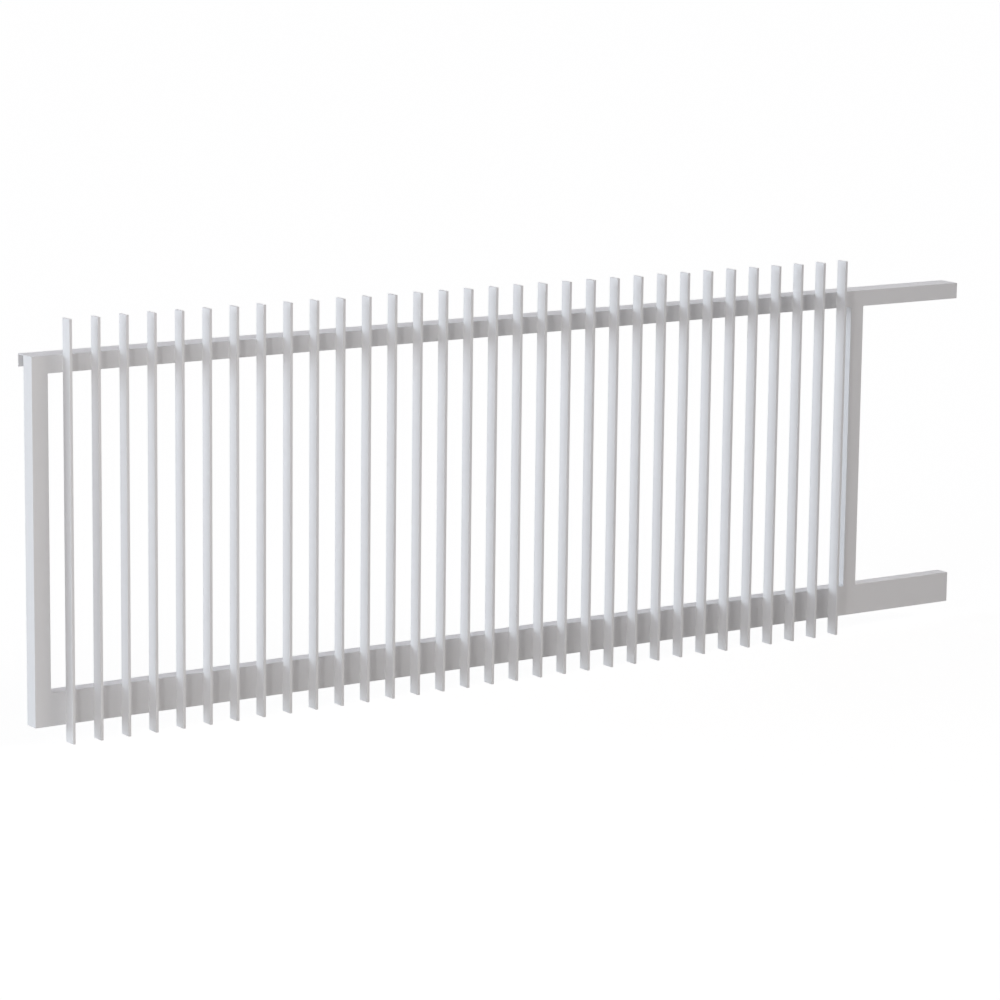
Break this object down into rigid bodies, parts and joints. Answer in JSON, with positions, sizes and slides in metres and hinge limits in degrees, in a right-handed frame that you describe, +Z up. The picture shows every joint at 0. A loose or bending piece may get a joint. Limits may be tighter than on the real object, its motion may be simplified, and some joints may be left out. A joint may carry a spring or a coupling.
{
  "type": "sliding driveway gate leaf",
  "caption": "White sliding driveway gate leaf: flush tube frame with a tail, upright blades set edge on across its front, and a down-turned top guide behind the top rail.",
  "frame": {"origin": "middle of the leaf's length on the underside of the bottom rail, half way across the rail", "axes": "+X along the leaf from the closing stile to the tail, +Y from the street side with the blades to the back, +Z up"},
  "size_m": [4, 0.148, 1.443],
  "materials": {
    "frame_coat": "satin powder coat",
    "cap_coat": "satin powder coat",
    "picket_coat": "satin powder coat"
  },
  "bodies": {
    "root": {"closing_stile": "frame_coat", "top_rail": "frame_coat", "bottom_rail": "frame_coat", "inner_stile": "frame_coat", "guide_angle": "frame_coat", "stile_top_cap": "cap_coat", "stile_foot_cap": "cap_coat", "top_rail_tail_cap": "cap_coat", "bottom_rail_tail_cap": "cap_coat", "picket_01": "picket_coat", "picket_02": "picket_coat", "picket_03": "picket_coat", "picket_04": "picket_coat", "picket_05": "picket_coat", "picket_06": "picket_coat", "picket_07": "picket_coat", "picket_08": "picket_coat", "picket_09": "picket_coat", "picket_10": "picket_coat", "picket_11": "picket_coat", "picket_12": "picket_coat", "picket_13": "picket_coat", "picket_14": "picket_coat", "picket_15": "picket_coat", "picket_16": "picket_coat", "picket_17": "picket_coat", "picket_18": "picket_coat", "picket_19": "picket_coat", "picket_20": "picket_coat", "picket_21": "picket_coat", "picket_22": "picket_coat", "picket_23": "picket_coat", "picket_24": "picket_coat", "picket_25": "picket_coat", "picket_26": "picket_coat", "picket_27": "picket_coat", "picket_28": "picket_coat", "picket_29": "picket_coat", "picket_30": "picket_coat", "picket_31": "picket_coat", "picket_32": "picket_coat"}
  },
  "joints": []
}
